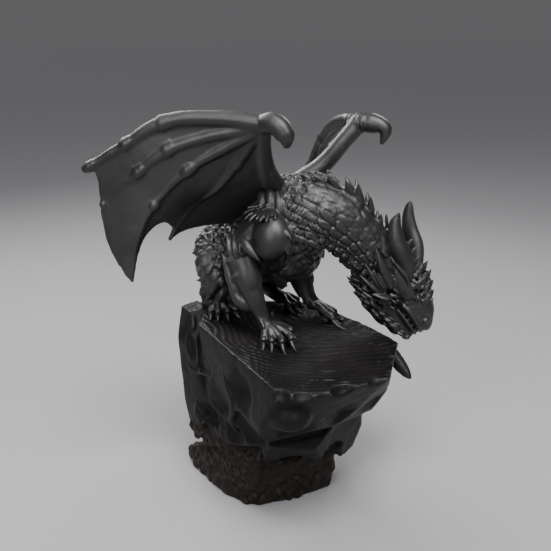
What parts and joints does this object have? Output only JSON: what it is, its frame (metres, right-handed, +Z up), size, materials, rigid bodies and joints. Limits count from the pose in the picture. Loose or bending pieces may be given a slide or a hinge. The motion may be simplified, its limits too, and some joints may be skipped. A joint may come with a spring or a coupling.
{
  "type": "dragon statue",
  "caption": "Dragon with raised wings, a spiked ridge and a lowered horned head, perched on a forward-leaning faceted rock plinth.",
  "frame": {"origin": "on the rock plinth's flat underside, below the middle of the dragon's body", "axes": "+Z up, -Y the way the dragon's body faces, -X its right side"},
  "size_m": [0.1162, 0.1164, 0.1576],
  "materials": {
    "dragon_plastic": "satin black with a soft sheen and fine layer lines",
    "rock_plastic": "satin black, stepped by print layers on the gently sloping top, slightly rougher and browner at the foot"
  },
  "bodies": {
    "root": {"dragon": "dragon_plastic", "rock_plinth": "rock_plastic"}
  },
  "joints": []
}
